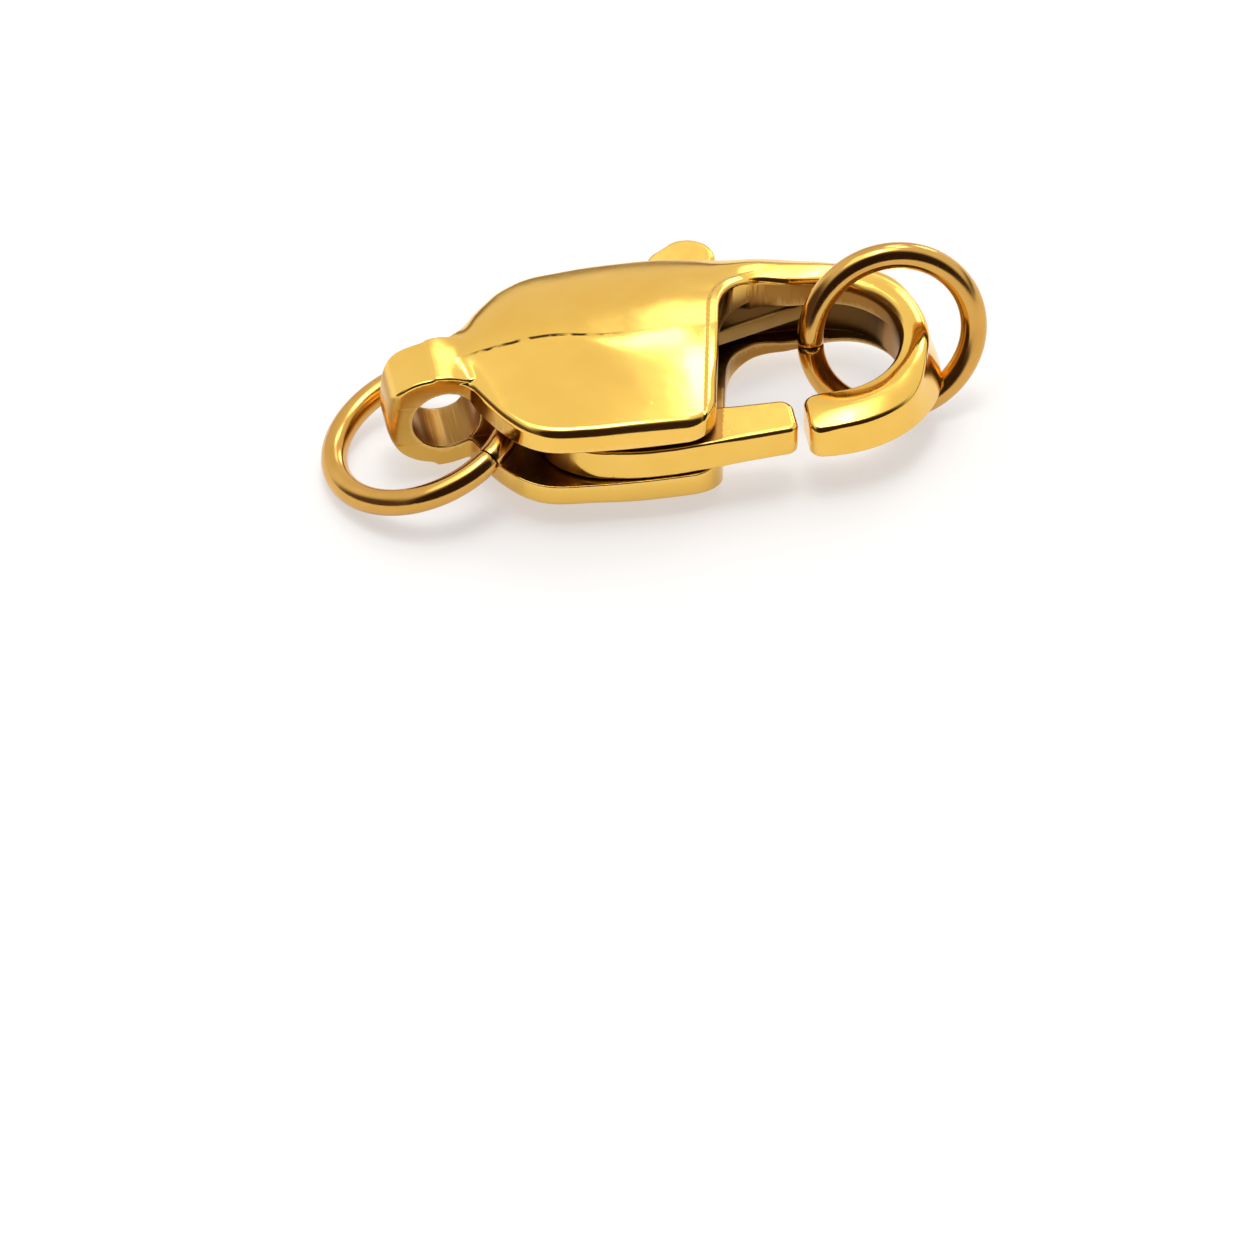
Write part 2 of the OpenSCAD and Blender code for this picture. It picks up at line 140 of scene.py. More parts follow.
# Patches of the tent: towards where, how flat, cosines where each starts and is full, tone, power.
TENT = [
    ((0.00, 1.00, 0.20), 1.0, 0.80, 0.97, "#F3EFE6", 1.0),  # far wall
    ((0.00, 1.00, 0.04), 7.0, 0.75, 0.95, "#8A7A6C", 1.0),  # its foot, in shade
    ((0.04, 0.08, 1.00), 1.0, 0.95, 0.99, "#FFFDF8", 4.0),  # roof
    ((0.04, 0.08, 1.00), 1.0, 0.988, 1.00, "#FFFFFF", 12.0),  # lamp behind the roof
    ((0.10, -1.00, 0.45), 1.2, 0.42, 0.72, "#33252A", 1.0),  # dark room in front
    ((-1.00, -0.15, 0.20), 1.5, 0.62, 0.90, "#5E4C52", 1.0),  # left wall, half in shade
    ((1.00, 0.00, 0.06), 4.0, 0.75, 0.96, "#55464A", 1.0),  # right wall's foot
    ((0.33, 0.46, 0.83), 1.0, 0.975, 0.994, "#FFFFFF", 1.25),  # main lamp: its glow on the cloth,
    ((0.33, 0.46, 0.83), 1.0, 0.986, 0.998, "#FFFFFF", 2.2),  # its rim
    ((0.33, 0.46, 0.83), 1.0, 0.994, 1.000, "#FFFFFF", 9.0),  # and its middle
    ((0.26, 0.74, 0.61), 1.0, 0.990, 0.9998, "#FFFFFF", 2.6),  # three smaller lamps behind
    ((0.20, 0.60, 0.775), 1.0, 0.9935, 0.9995, "#FFFFFF", 6.0),
    ((0.56, 0.74, 0.37), 1.0, 0.987, 0.997, "#FFFFFF", 5.0),
]
world = bpy.data.worlds.new("tent")
world.use_nodes = True
scene.world = world
sky = world.node_tree
sky.nodes.clear()
look = add_node(sky, "ShaderNodeTexCoord")
cloth = add_node(sky, "ShaderNodeRGB")
cloth.outputs["Color"].default_value = linear("#FDFDFD")
tone = cloth.outputs["Color"]
for toward, flat, start, full, hex_colour, power in TENT:
    squeezed = add_node(sky, "ShaderNodeVectorMath", {"operation": "MULTIPLY", 1: (1, 1, flat)},
                        {0: look.outputs["Generated"]})
    unit = add_node(sky, "ShaderNodeVectorMath", {"operation": "NORMALIZE"},
                    {0: squeezed.outputs["Vector"]})
    cosine = add_node(sky, "ShaderNodeVectorMath",
                      {"operation": "DOT_PRODUCT", 1: Vector(toward).normalized()},
                      {0: unit.outputs["Vector"]})
    patch = add_node(sky, "ShaderNodeMapRange",
                     {"From Min": start, "From Max": full, "interpolation_type": "SMOOTHSTEP"},
                     {"Value": cosine.outputs["Value"]})
    shine = [power * c for c in linear(hex_colour)[:3]] + [1.0]
    tone = add_node(sky, "ShaderNodeMix", {"data_type": "RGBA", "B": shine},
                    {"Factor": patch.outputs["Result"], "A": tone}).outputs["Result"]
glow = add_node(sky, "ShaderNodeBackground", {"Strength": 1.0}, {"Color": tone})
add_node(sky, "ShaderNodeOutputWorld", links={"Surface": glow.outputs["Background"]})

# Body: one investment casting of steel, tumbled and hand polished, then plated gold. Two crowned
# plates with a slot between them, the eye at one end, and the far arm that runs on into the crook
# and its nose. It is drawn as one rounded form and given a skin, all in millimetres.


def curve(knots, values, blur=0.06, samples=1600):
    """A smooth curve through a few values, as a function of the distance along the knots."""
    knots, values = np.array(knots, float), np.array(values, float)
    step = np.diff(knots)
    rise = np.diff(values) / step
    slope = np.concatenate([[rise[0]], np.zeros(len(knots) - 2), [rise[-1]]])
    for i in range(1, len(knots) - 1):
        if rise[i - 1] * rise[i] > 0:
            w0, w1 = 2 * step[i] + step[i - 1], step[i] + 2 * step[i - 1]
            slope[i] = (w0 + w1) / (w0 / rise[i - 1] + w1 / rise[i])
    x = np.linspace(knots[0], knots[-1], samples)
    i = np.clip(np.searchsorted(knots, x) - 1, 0, len(step) - 1)
    t = (x - knots[i]) / step[i]
    y = ((1 + 2 * t) * (1 - t) ** 2 * values[i] + t * (1 - t) ** 2 * step[i] * slope[i]
         + t * t * (3 - 2 * t) * values[i + 1] + t * t * (t - 1) * step[i] * slope[i + 1])
    half = max(1, int(3 * blur / (x[1] - x[0])))
    bell = np.exp(-0.5 * (np.arange(-half, half + 1) * (x[1] - x[0]) / blur) ** 2)
    y = np.convolve(np.pad(y, half, mode="edge"), bell / bell.sum(), mode="valid")
    return lambda at: np.interp(at, x, y)


def both(a, b, r):
    """Where two forms overlap, with the edge between them rounded by r."""
    return np.minimum(np.maximum(a, b), -r) + np.hypot(np.maximum(a + r, 0), np.maximum(b + r, 0))


def either(a, b, r):
    """Two forms together, with the inner corner between them filled by r."""
    return -both(-a, -b, r)


def ramp(a, b, v):
    """Eases from 0 where v is a to 1 where it is b."""
    t = np.clip((v - a) / (b - a), 0, 1)
    return t * t * (3 - 2 * t)


def field_slope(field, p, step=0.004):
    """How the form's field changes at each point, by central differences."""
    out = np.empty_like(p)
    for i in range(3):
        a, b = p.copy(), p.copy()
        a[:, i] += step
        b[:, i] -= step
        out[:, i] = (field(*a.T) - field(*b.T)) / (2 * step)
    return out


def settle(field, p, reach, times):
    """Moves points onto the form's surface, each by no more than reach at a time."""
    for _ in range(times):
        g = field_slope(field, p)
        move = -(field(*p.T) / np.maximum((g * g).sum(1), 1e-3))[:, None] * g
        size = np.linalg.norm(move, axis=1, keepdims=True)
        p = p + move * np.minimum(1, reach / np.maximum(size, 1e-9))
    return p


def rough_skin(field, low, high, pitch, slab=24):
    """The form's surface as (points, quads), with one point in each cell of a grid that it crosses."""
    low, high = np.array(low, float), np.array(high, float)
    count = np.ceil((high - low) / pitch).astype(int) + 1
    xs, ys, zs = (low[i] + pitch * np.arange(count[i]) for i in range(3))
    value = np.empty(count, np.float32)
    for i in range(0, count[0], slab):
        grid = np.meshgrid(xs[i:i + slab], ys, zs, indexing="ij")
        value[i:i + slab] = field(*(g.ravel() for g in grid)).reshape(grid[0].shape)
    inside = value < 0
    corners = [(a, b, c) for a in (0, 1) for b in (0, 1) for c in (0, 1)]
    cells = count - 1
    filled = sum(inside[a:a + cells[0], b:b + cells[1], c:c + cells[2]].astype(np.int8)
                 for a, b, c in corners)
    live = (filled > 0) & (filled < len(corners))
    number = np.full(cells, -1, np.int32)
    where = np.argwhere(live)
    number[live] = np.arange(len(where))
    total, hits = np.zeros((len(where), 3)), np.zeros(len(where))
    for a in corners:
        for axis in range(3):
            if a[axis]:
                continue
            b = np.array(a)
            b[axis] = 1
            fa = value[tuple((where + a).T)]
            fb = value[tuple((where + b).T)]
            cut = (fa < 0) != (fb < 0)
            t = fa[cut] / (fa[cut] - fb[cut])
            total[cut] += where[cut] + a + t[:, None] * (b - a)
            hits[cut] += 1
    quads = []
    for axis, (u, v) in enumerate(((1, 2), (2, 0), (0, 1))):
        lo = [slice(1, -1)] * 3
        hi = [slice(1, -1)] * 3
        lo[axis], hi[axis] = slice(0, -1), slice(1, None)
        first, second = inside[tuple(lo)], inside[tuple(hi)]
        for flip in (False, True):
            hit = np.argwhere(second & ~first if flip else first & ~second)
            if not len(hit):
                continue
            hit[:, u] += 1
            hit[:, v] += 1
            ring = []
            for du, dv in ((-1, -1), (0, -1), (0, 0), (-1, 0)):
                cell = hit.copy()
                cell[:, u] += du
                cell[:, v] += dv
                ring.append(number[tuple(cell.T)])
            if flip:
                ring.reverse()
            quads.append(np.stack(ring, 1))
    return low + pitch * total / hits[:, None], np.concatenate(quads)


def vertices_of(mesh):
    """The mesh's vertices in metres, one row each."""
    co = np.empty(len(mesh.vertices) * 3, np.float32)
    mesh.vertices.foreach_get("co", co)
    return co.reshape(-1, 3)


def mark(mesh, word, amount):
    """Keeps a number for each vertex, for the materials to read."""
    mesh.attributes.new(word, "FLOAT", "POINT").data.foreach_set("value", amount.astype(np.float32))


SMOOTHINGS = 4
EVENING = 0.6
PROBE_REACH = 0.12
PALING_GAIN = 1.35
SHADE_REACH = 0.35


def skin(name, field, low, high, pitch, most, painted_shade):
    """A closed mesh on the form's surface, even and thinned, with exact normals and masks of painted shade
    and of pale edges.
    """
    points, quads = rough_skin(field, low, high, pitch)
    a, b = quads.ravel(), np.roll(quads, -1, axis=1).ravel()
    ends, others = np.concatenate([a, b]), np.concatenate([b, a])
    share = np.bincount(ends, minlength=len(points))[:, None]
    points = settle(field, points, pitch, 2)
    for _ in range(SMOOTHINGS):
        mean = np.stack([np.bincount(ends, points[others, i], len(points)) for i in range(3)], 1) / share
        points = settle(field, (1 - EVENING) * points + EVENING * mean, pitch, 1)
    rough = bpy.data.meshes.new(name)
    rough.from_pydata((points * MM).tolist(), [], quads.tolist())
    piece = bpy.data.objects.new(name, rough)
    scene.collection.objects.link(piece)
    if 2 * len(quads) > most:
        thin = piece.modifiers.new("thin", "DECIMATE")
        thin.ratio = most / (2 * len(quads))
        done = bpy.data.meshes.new_from_object(
            piece.evaluated_get(bpy.context.evaluated_depsgraph_get()))
        piece.modifiers.clear()
        piece.data = done
        bpy.data.meshes.remove(rough)
        done.name = name
    mesh = piece.data
    points = settle(field, vertices_of(mesh).astype(float) / MM, 0.3 * pitch, 2)
    mesh.vertices.foreach_set("co", (points * MM).astype(np.float32).ravel())
    normal = field_slope(field, points)
    normal /= np.maximum(np.linalg.norm(normal, axis=1, keepdims=True), 1e-9)
    mesh.polygons.foreach_set("use_smooth", np.ones(len(mesh.polygons), bool))
    mesh.update()
    mesh.normals_split_custom_set_from_vertices(normal.tolist())
    # Painted shade in hollows: how far the form reaches round a point a little off the surface, as a cheap
    # occlusion.
    occlusion_shade = 1 - field(*(points + PROBE_REACH * normal).T) / PROBE_REACH
    # Paler towards convex edges, where little of the form lies just behind the surface.
    proud = np.clip(-field(*(points - PROBE_REACH * normal).T) / PROBE_REACH, 0, 1)
    # Masks of painted shade on inward walls and deep in the slot.
    inner, deep = painted_shade(points, points + SHADE_REACH * normal)
    mark(mesh, "occlusion_shade", np.clip(occlusion_shade, 0, 1))
    mark(mesh, "edge_paling", np.clip(PALING_GAIN * (1 - proud), 0, 1))
    mark(mesh, "inner", inner)
    mark(mesh, "deep", deep)
    return piece


MIDDLE = 1.45
EYE_X = -3.0
BODY_LONG = 5.8
HALF_WIDE = 2.65
STRAP_HALF = 0.63
EDGE_HALF = 1.0
CREST_RISE = 0.45
REST_DEPTH = 0.03
# Along from the eye, flares of the near and the far side, shares of the edge and of the crest.
SHELL = np.array([
    [-0.035, 0.000, 0.020, 1.125, 0.06],
    [0.035, 0.000, 0.090, 1.090, 0.10],
    [0.080, 0.020, 0.210, 1.030, 0.36],
    [0.110, 0.200, 0.290, 1.000, 0.52],
    [0.164, 0.510, 0.490, 1.000, 0.64],
    [0.223, 0.740, 0.670, 1.000, 0.76],
    [0.260, 0.830, 0.765, 1.000, 0.82],
    [0.303, 0.900, 0.840, 1.000, 0.87],
    [0.360, 0.945, 0.920, 1.000, 0.93],
    [0.426, 0.965, 0.965, 1.000, 0.97],
    [0.557, 0.990, 0.987, 1.000, 1.00],
    [0.678, 1.000, 0.990, 1.000, 1.00],
    [0.842, 0.990, 0.975, 1.000, 1.00],
    [0.974, 0.970, 0.930, 0.980, 1.00],
    [1.060, 0.950, 0.870, 0.970, 1.00],
    [1.150, 0.930, 0.830, 0.960, 0.95],
    [1.250, 0.930, 0.820, 0.950, 0.90]])
along = EYE_X + SHELL[:, 0] * BODY_LONG
near_side = curve(along, STRAP_HALF + (HALF_WIDE - STRAP_HALF) * SHELL[:, 1])
far_side = curve(along, STRAP_HALF + (HALF_WIDE - STRAP_HALF) * SHELL[:, 2])
edge_half = curve(along, EDGE_HALF * SHELL[:, 3])
crest_rise = curve(along, CREST_RISE * SHELL[:, 4], blur=0.12)
# The crest is a fold that was polished by hand, so it wanders a little sideways.
crest_aside = curve([-2.6, -1.8, -0.9, -0.2, 0.5, 1.3, 2.4],
                    [0.0, 0.05, 0.12, 0.02, -0.11, -0.05, 0.0], blur=0.2)

CROOK_X = 5.1
CROOK_IN = 1.46
ARM_WIDE = 0.9
ARM_HALF = 0.95
CROOK_R = CROOK_IN + ARM_WIDE / 2
# Degrees round the crook and distance along past its ends, drift outwards, width, then heights of
# the top's inner edge, outer edge and ridge and of the underside's inner and outer edge.
HOOK = np.array([
    [90, 2.46, 0.18, 0.72, 1.06, 0.95, 1.12, 1.16, 0.86],
    [90, 1.40, 0.13, 0.90, 1.05, 0.93, 1.12, 1.16, 0.90],
    [90, 0.70, 0.05, 1.00, 1.00, 0.84, 1.05, 1.10, 0.86],
    [90, 0.00, 0.02, 1.02, 0.90, 0.68, 0.98, 0.98, 0.80],
    [72, 0.00, 0.00, 1.00, 0.81, 0.56, 0.93, 0.88, 0.76],
    [54, 0.00, 0.00, 1.00, 0.79, 0.56, 0.92, 0.78, 0.72],
    [36, 0.00, 0.00, 1.00, 0.78, 0.56, 0.92, 0.70, 0.68],
    [18, 0.00, 0.00, 0.98, 0.72, 0.54, 0.88, 0.62, 0.66],
    [0, 0.00, 0.00, 0.97, 0.62, 0.55, 0.82, 0.58, 0.64],
    [-18, 0.00, 0.00, 0.98, 0.54, 0.53, 0.75, 0.55, 0.62],
    [-36, 0.00, 0.00, 1.00, 0.48, 0.47, 0.66, 0.53, 0.58],
    [-54, 0.00, 0.01, 1.03, 0.46, 0.36, 0.55, 0.52, 0.56],
    [-72, 0.00, 0.03, 1.07, 0.45, 0.31, 0.50, 0.52, 0.56],
    [-90, 0.00, 0.06, 1.12, 0.43, 0.29, 0.47, 0.52, 0.56],
    [-90, 0.54, 0.08, 1.20, 0.40, 0.28, 0.44, 0.50, 0.53],
    [-90, 0.90, 0.09, 1.26, 0.36, 0.28, 0.40, 0.48, 0.50]])
past_end = ARM_WIDE * HOOK[:, 1] * np.where(HOOK[:, 0] > 0, -1, 1)
hook_along = CROOK_R * np.radians(90 - HOOK[:, 0]) + past_end
hook_drift = curve(hook_along, ARM_WIDE * HOOK[:, 2])
hook_half = curve(hook_along, ARM_WIDE / 2 * HOOK[:, 3])
hook_in, hook_out, hook_roof, hook_low_in, hook_low_out = (
    curve(hook_along, ARM_HALF * HOOK[:, k], blur=0.15) for k in range(4, 9))
# How the top rounds over towards its inner and its outer edge, along the hook.
inner_dome = curve([-1.0, 0.0, 1.5, 3.0, 4.5, 6.0, 7.5], [1.4, 1.5, 2.2, 2.8, 2.5, 2.0, 2.0], blur=0.3)
outer_dome = curve([-1.0, 0.0, 1.5, 3.0, 4.0, 5.0, 7.5], [1.4, 1.5, 2.2, 2.2, 1.4, 1.25, 1.35], blur=0.3)

FRONT_LEAN = math.radians(11.2)
FRONT_X = 2.8
THROAT_R = 1.15
THROAT_SHIFT = 0.22
THROAT = (FRONT_X + (CROOK_IN - THROAT_R) * math.tan(FRONT_LEAN) + THROAT_R / math.cos(FRONT_LEAN),
          CROOK_IN + THROAT_SHIFT - THROAT_R)
throat_far = math.hypot(CROOK_X - THROAT[0], CROOK_IN - THROAT[1])
THROAT_END = (math.atan2(CROOK_IN - THROAT[1], CROOK_X - THROAT[0])
              + math.acos(THROAT_R / throat_far))
STOP_LEAN = math.radians(59)
PIVOT = (0.0, -1.2)


def mouth_plan(x, y):
    """Below zero in front of the body: right of the front edge and inside the far arm's wall."""
    front = (x - FRONT_X - y * math.tan(FRONT_LEAN)) * math.cos(FRONT_LEAN)
    wall = (THROAT_R - (x - THROAT[0]) * math.cos(THROAT_END)
            - (y - THROAT[1]) * math.sin(THROAT_END))
    return both(-front, -wall, 1.25 * THROAT_R)


RIM_INSET = 0.12
NEAR_DOME, FAR_DOME = 1.15, 2.0
FOLD_R, FOLD_R_MIDDLE, FOLD_R_FRONT = 0.015, 0.25, 0.2
FOLD_WANDERS = 0.7
FRONT_LIP = 0.045
FRONT_SINK, FRONT_REACH = 0.11, 1.9


def shell_height(x, y, z, mouth):
    """Below zero between the crowned back and the crowned underside, edges left out."""
    near, far = near_side(x) - RIM_INSET, far_side(x) - RIM_INSET
    fold = FOLD_R + FOLD_R_MIDDLE * ramp(-0.4, 1.0, x) + FOLD_R_FRONT * ramp(1.0, 2.2, x)
    y = y - crest_aside(x) * np.exp(-(y / FOLD_WANDERS) ** 2)
    out = np.minimum(np.where(y < 0, -y / near, y / far), 1.6)
    out = np.hypot(out, fold) - fold * np.exp(-out)
    dome = np.where(y < 0, NEAR_DOME, FAR_DOME)
    rise, half = crest_rise(x), edge_half(x)
    lip = FRONT_LIP * ramp(0.26, 0.18, mouth)
    sink = FRONT_SINK * np.clip((FRONT_REACH - mouth) / FRONT_REACH, 0, 1) ** 2 * ramp(2.3, 1.0, y)
    top = z - MIDDLE - half - rise * (1 - out ** dome) - (lip - sink)
    under = MIDDLE - z - half - (rise + REST_DEPTH) * (1 - out ** 2)
    return np.maximum(top, under)


SHELL_START = EYE_X + 0.2
FRONT_CORNER_R = 0.6


def side_lean(side, x, step=0.02):
    """How steeply a side's outline flares, as the length of its slope."""
    return np.hypot(1, (side(x + step) - side(x - step)) / (2 * step))


def shell_plan(x, y, z, mouth):
    """The shell's outline from above. Beside the eye, its far side flares only near the top."""
    near, far = near_side(x), far_side(x)
    far = far - (far - STRAP_HALF) * ramp(-2.1, -2.6, x) * ramp(2.45, 1.95, z)
    plan = np.maximum((-y - near) / side_lean(near_side, x), (y - far) / side_lean(far_side, x))
    plan = np.where(y < 0, both(plan, -mouth, FRONT_CORNER_R), np.maximum(plan, -mouth))
    return np.maximum(plan, SHELL_START - x)


CROOK_DRAFT = 0.26
NOSE_ROUND = 0.28


def hook_parts(x, y, z):
    """The far arm, crook and nose, as (plan, height), along and across their middle line."""
    dx = x - CROOK_X
    turn = np.arctan2(y, dx)
    long = np.where(dx > 0, CROOK_R * (math.pi / 2 - turn), np.where(y > 0, dx, math.pi * CROOK_R - dx))
    across = np.where(dx > 0, np.hypot(dx, y), np.abs(y)) - CROOK_R - hook_drift(long)
    half, roof = hook_half(long), hook_roof(long)
    q = np.clip(across / half, -1.2, 1.2)
    brow = np.where(q < 0, hook_in(long), hook_out(long))
    dome = np.where(q < 0, inner_dome(long), outer_dome(long))
    top = z - MIDDLE - roof - (brow - roof) * np.abs(q) ** dome
    low_in, low_out = hook_low_in(long), hook_low_out(long)
    under = MIDDLE - z - low_in - (low_out - low_in) * (0.5 + 0.5 * q)
    leaning = ramp(-60, -20, np.degrees(turn)) * ramp(60, 20, np.degrees(turn)) * (dx > 0)
    plan = np.maximum(across - half + CROOK_DRAFT * leaning * ramp(0.9, 2.1, z), -across - half)
    return both(plan, long - hook_along[-1], NOSE_ROUND), np.maximum(top, under)


EYE_R = 1.11
EYE_BORE = 0.7
EYE_SET = EYE_X - 0.13
EYE_Z = MIDDLE + 0.05
EYE_ROUND = 0.36
EYE_SQUARE = 2.5
STRAP_BLEND = 0.22
STRAP_FLARE = 0.13
STRAP_LONG = 1.1
STRAP_EDGE_R = 0.07


def strap_form(x, y, z, height):
    """The eye and its strap: boss and shell in one profile, inside one plan with a rounded end."""
    ahead, above = x - EYE_SET, z - EYE_Z
    power = np.where((ahead < 0) & (above > 0), EYE_SQUARE, 2.0)
    boss = (np.abs(ahead) ** power + np.abs(above) ** power) ** (1 / power) - EYE_R
    profile = either(boss, np.maximum(height, EYE_SET - x), STRAP_BLEND)
    flare = STRAP_FLARE * ramp(-3.6, -2.75, x) * ramp(1.7, 2.6, z) * (y > 0)
    a, b = EYE_SET - EYE_R + EYE_ROUND - x, np.abs(y) - STRAP_HALF + EYE_ROUND - flare
    plan = np.minimum(np.maximum(a, b), 0) + np.hypot(np.maximum(a, 0), np.maximum(b, 0)) - EYE_ROUND
    return both(profile, np.maximum(plan, x - EYE_X - STRAP_LONG), STRAP_EDGE_R)


SLOT_START = EYE_X + EYE_BORE + 0.12
SLOT_HALF = 0.45
SLOT_END = 4.2
WEB_THICKER = 0.2
# A point on each straight wall of the slot and the groove, and where two of the walls face.
STOP = (0.566, -1.54)
WALL, WALL_WAY = (4.034, 1.46), (0.2711, 0.9625)
GROOVE_START, GROOVE_WAY = 0.72, (0.7014, 0.7128)
GROOVE_X, GROOVE_Y = 4.9, 1.86
GROOVE_FADE, GROOVE_FADE_R = (4.9, 0.3), 1.56
GROOVE_UP, GROOVE_DOWN, GROOVE_LIP = 0.235, 0.715, 0.15


def slot_form(x, y, z):
    """The slot between the plates, which runs on as a groove along the far arm's inner wall."""
    stop = (x - STOP[0]) * math.sin(STOP_LEAN) - (y - STOP[1]) * math.cos(STOP_LEAN)
    wall = (y - WALL[1]) * WALL_WAY[1] + (x - WALL[0]) * WALL_WAY[0]
    plan = np.minimum(stop, np.maximum(wall, x - SLOT_END))
    web = np.maximum(x - SLOT_START - WEB_THICKER * ramp(0.3, -0.4, y), np.abs(y) - STRAP_HALF)
    slot = np.maximum(np.maximum(plan, -web), np.abs(z - MIDDLE) - SLOT_HALF)
    fade = np.hypot(x - GROOVE_FADE[0], y - GROOVE_FADE[1]) - GROOVE_FADE_R
    side = (GROOVE_START - x) * GROOVE_WAY[0] + y * GROOVE_WAY[1]
    groove = np.maximum(np.minimum(np.maximum(y - GROOVE_Y, x - GROOVE_X), fade), np.maximum(side, -y))
    turn = np.arctan2(y, np.maximum(x - CROOK_X, 0))
    lip = MIDDLE + GROOVE_LIP - hook_low_in(CROOK_R * (math.pi / 2 - turn))
    floor = np.maximum(MIDDLE - GROOVE_DOWN, lip)
    return np.minimum(slot, np.maximum(groove, np.maximum(z - MIDDLE - GROOVE_UP, floor - z)))


HOOK_X = 3.5
EDGE_R = 0.07
SHELL_SOFTER, NEAR_SOFTER = 0.06, 0.06
NOSE_END_SOFTER, CROOK_SOFTER, NOSE_SHARPER = 0.05, 0.04, 0.055


def edge_radius(x, y, z, mouth, onward):
    """How far the polishing wheel has rounded the outer edges, place by place."""
    radius = EDGE_R + SHELL_SOFTER * ramp(-2.6, -1.7, x) * np.maximum(ramp(0.05, 0.5, mouth), onward)
    near = NEAR_SOFTER * ramp(-2.0, -1.0, x) * ramp(-1.0, -1.6, y) * (x < 3.2)
    radius = radius + near * ramp(MIDDLE, MIDDLE + 0.3, z)
    nose_end = (y < 0) * ramp(4.9, 4.35, x) * (x > HOOK_X)
    crook = ramp(CROOK_X - 0.3, CROOK_X + 0.9, x) * ramp(MIDDLE - 0.3, MIDDLE + 0.1, z)
    radius = radius + NOSE_END_SOFTER * nose_end + CROOK_SOFTER * crook * ramp(-0.9, 0.5, y)
    return radius - NOSE_SHARPER * (x > HOOK_X) * ramp(0.4, -0.9, y)


LOWER_LONGER = 0.14
ARM_BLEND = 0.1
PIN_SEAT_R, PIN_SEAT_HALF = 0.42, 0.87
SLOT_EDGE_R, BORE_EDGE_R, REST_EDGE_R = 0.035, 0.03, 0.02


def body_form(x, y, z):
    """The whole casting: shell, hook and strap, less the slot, the bore, the pin's seats and the rest."""
    longer = LOWER_LONGER * ramp(MIDDLE + 0.1, MIDDLE - 0.4, z) * ramp(1.4, 0.6, y)
    mouth = mouth_plan(x - longer, y)
    height = shell_height(x, y, z, mouth)
    plan, (hook_outline, hook_height) = shell_plan(x, y, z, mouth), hook_parts(x, y, z)
    onward = np.where(y > 0.3, ramp(2.9, 4.3, x), x > HOOK_X)
    arm_side = either(np.maximum(plan, x - 4.5), np.maximum(hook_outline, 2.7 - x), ARM_BLEND)
    outline = np.where(y > 0.3, arm_side, np.where(x > HOOK_X, hook_outline, plan))
    form = both(height + (hook_height - height) * onward, outline, edge_radius(x, y, z, mouth, onward))
    form = np.minimum(form, strap_form(x, y, z, height))
    form = both(form, -slot_form(x, y, z), SLOT_EDGE_R)
    form = both(form, EYE_BORE - np.hypot(x - EYE_X, z - EYE_Z), BORE_EDGE_R)
    seat = np.maximum(np.hypot(x - PIVOT[0], y - PIVOT[1]) - PIN_SEAT_R,
                      np.abs(z - MIDDLE) - PIN_SEAT_HALF)
    return both(np.maximum(form, -seat), -z, REST_EDGE_R)


def shade_masks_of_casting(at, facing):
    """Two masks of painted shade: on the walls of throat and bore, and by depth in the slot and groove."""
    x, y, z = facing.T
    front = FRONT_X + LOWER_LONGER + y * math.tan(FRONT_LEAN)
    plan = np.where(x < CROOK_X, np.maximum(-y - near_side(x), y - far_side(x)),
                    np.hypot(x - CROOK_X, y) - 1.75)
    plan = np.maximum(plan, EYE_SET - EYE_R - x)
    plan = np.where((x > front) & (y < -1.0), 1.0, plan)
    level = ramp(0.98, 0.80, z - MIDDLE) * ramp(1.25, 1.05, MIDDLE - z)
    at_eye = ramp(-2.0, -2.6, x)
    upward = ramp(0.35, 0.75, (z - at[:, 2]) / SHADE_REACH)
    upward = upward * ramp(MIDDLE + 0.32, MIDDLE + 0.45, at[:, 2])
    walls = ramp(0.05 + 0.75 * at_eye, -0.15, plan) * level * (1 - upward)
    # Half a painted shade on the strap's near face round the eye.
    eye_face = 0.5 * ramp(-1.9, -2.4, x) * ramp(-0.75, -0.95, y) * ramp(2.5, 2.2, z)
    x, y, z = at.T
    from_crook = np.hypot(x - CROOK_X, y)
    # More than half a painted shade on the crook's outside at the back, which faces the dark.
    crook_back = 0.6 * ramp(2.1, 2.35, from_crook) * ramp(0.2, 0.8, y) * ramp(4.7, 5.2, x)
    cover = np.where(x < CROOK_X, mouth_plan(x, y), from_crook - CROOK_IN)
    # Painted shade by depth in the slot and the groove.
    slot_shade = ramp(0.02, 0.10, cover) * ramp(-2.5, -2.2, x) * ramp(0.50, 0.46, z - MIDDLE)
    slot_shade = slot_shade * ramp(0.80, 0.72, MIDDLE - z) * ramp(-near_side(x) + 0.3, -near_side(x) + 0.6, y)
    slot_shade = slot_shade * np.where(x < CROOK_X, ramp(far_side(x) - 0.05, far_side(x) - 0.25, y), 1.0)
    slot_shade = slot_shade * (1 - 0.95 * ramp(0.6, -0.2, y))
    return np.maximum(np.maximum(walls, eye_face), crook_back), slot_shade


PITCH = 0.032
BODY_BOX = (-4.32, -2.75, -0.1), (7.55, 2.8, 3.0)
BODY_TRIANGLES = 190000
body = skin("body_casting", body_form, *BODY_BOX, PITCH, BODY_TRIANGLES, shade_masks_of_casting)
spots = vertices_of(body.data)
mark(body.data, "from_crest", spots[:, 1] - MM * crest_aside(spots[:, 0] / MM))


